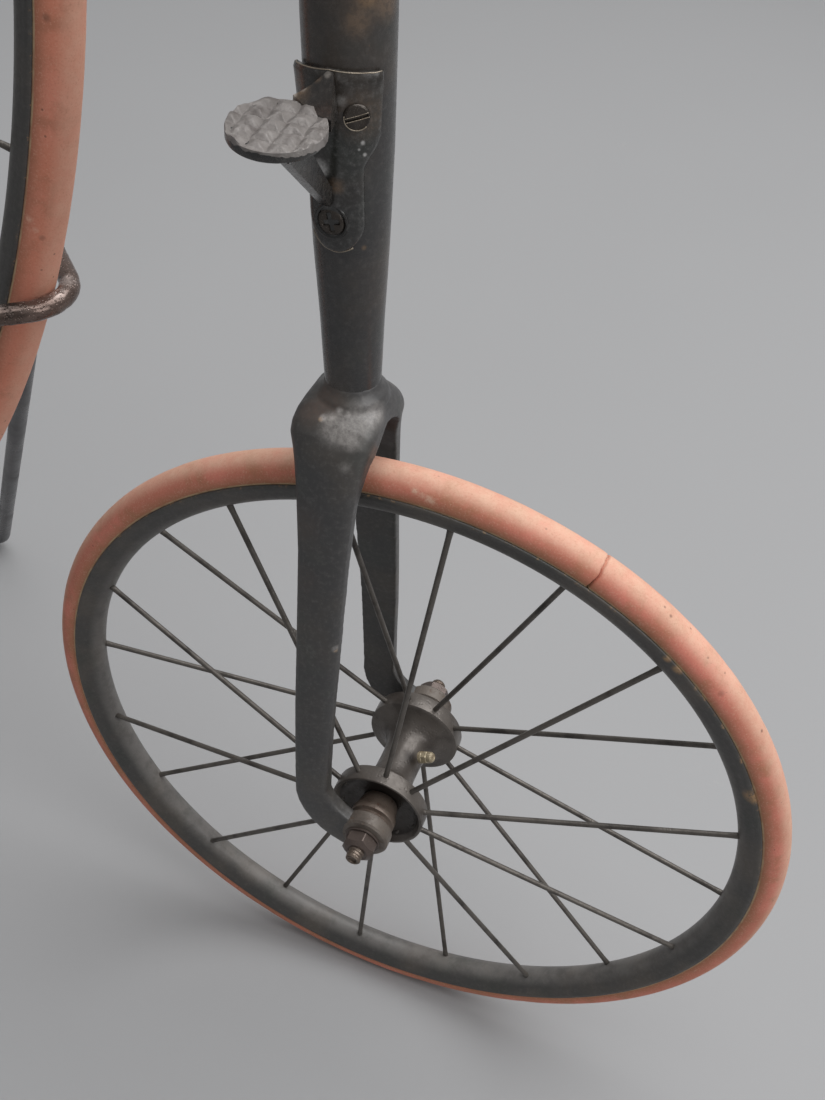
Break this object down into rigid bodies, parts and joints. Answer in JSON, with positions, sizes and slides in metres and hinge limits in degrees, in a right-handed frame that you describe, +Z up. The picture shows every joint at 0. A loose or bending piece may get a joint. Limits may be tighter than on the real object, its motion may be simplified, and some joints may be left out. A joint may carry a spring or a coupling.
{
  "type": "high wheel bicycle on a wheel stand",
  "caption": "High wheel bicycle with cranks on its tall front wheel, a curved backbone to a small rear wheel, a mounting step, and a bent rod stand that holds the front tyre.",
  "frame": {"origin": "on the floor, midway between the front of the front tyre and the back of the rear tyre", "axes": "+X forward, +Y to the rider's left, +Z up"},
  "size_m": [1.746, 0.6646, 1.5338],
  "materials": {
    "tyre_rubber": "aged matt natural rubber, bleached and scuffed",
    "rim_enamel": "worn black enamel with ochre chips",
    "frame_enamel": "worn satin black enamel",
    "spoke_steel": "dark rust-brown steel wire",
    "hub_steel": "greasy brown-grey steel",
    "bolt_steel": "dulled steel",
    "brass": "dull brass",
    "step_steel": "bare pale grey forged steel",
    "stand_steel": "pitted rusty plated rod",
    "leather": "dark brown saddle leather",
    "spring_steel": "black spring steel",
    "crank_steel": "dulled nickel over steel",
    "pedal_rubber": "hard dark rubber",
    "grip_wood": "dark turned hardwood",
    "bar_steel": "dulled nickel over steel"
  },
  "bodies": {
    "fork_and_stand": {"front_fork": "frame_enamel", "head": "frame_enamel", "handlebar": "bar_steel", "grip_left": "grip_wood", "grip_right": "grip_wood", "brake_spoon": "bar_steel", "brake_lever": "bar_steel", "stand_loop": "stand_steel", "stand_rail_left": "stand_steel", "stand_rail_right": "stand_steel"},
    "frame": {"rear_fork": "frame_enamel", "backbone": "frame_enamel", "neck": "frame_enamel", "step_strap": "frame_enamel", "step_tread": "step_steel", "step_screws": "bolt_steel", "saddle_spring": "spring_steel", "saddle_frame": "spring_steel", "saddle_top": "leather", "rear_axle": "bolt_steel", "rear_cones": "bolt_steel", "rear_nuts": "bolt_steel"},
    "front_wheel": {"front_tyre": "tyre_rubber", "front_rim": "rim_enamel", "front_spokes": "spoke_steel", "front_hub": "hub_steel", "crank_left": "crank_steel", "crank_right": "crank_steel", "pedal_pin_left": "bolt_steel", "pedal_pin_right": "bolt_steel"},
    "pedal_left": {"pedal_frame_left": "crank_steel", "pedal_rubbers_left": "pedal_rubber"},
    "pedal_right": {"pedal_frame_right": "crank_steel", "pedal_rubbers_right": "pedal_rubber"},
    "rear_wheel": {"rear_tyre": "tyre_rubber", "rear_rim": "rim_enamel", "rear_spokes": "spoke_steel", "rear_hub": "hub_steel", "rear_oiler": "brass"}
  },
  "joints": [
    {"name": "steering", "type": "hinge", "parent": "fork_and_stand", "child": "frame", "pos_m": [0.18723, 0, 0.6858], "axis": [-0.0698, 0, 0.9976], "range_deg": [-40, 40]},
    {"name": "front_wheel_spin", "type": "hinge", "parent": "fork_and_stand", "child": "front_wheel", "pos_m": [0.18723, 0, 0.6858], "axis": [0, 1, 0], "continuous": true},
    {"name": "rear_wheel_spin", "type": "hinge", "parent": "frame", "child": "rear_wheel", "pos_m": [-0.65713, 0, 0.2159], "axis": [0, 1, 0], "continuous": true},
    {"name": "pedal_left_spin", "type": "hinge", "parent": "front_wheel", "child": "pedal_left", "pos_m": [0.18723, 0.13, 0.5458], "axis": [0, 1, 0], "continuous": true},
    {"name": "pedal_right_spin", "type": "hinge", "parent": "front_wheel", "child": "pedal_right", "pos_m": [0.18723, -0.13, 0.8258], "axis": [0, 1, 0], "continuous": true}
  ]
}
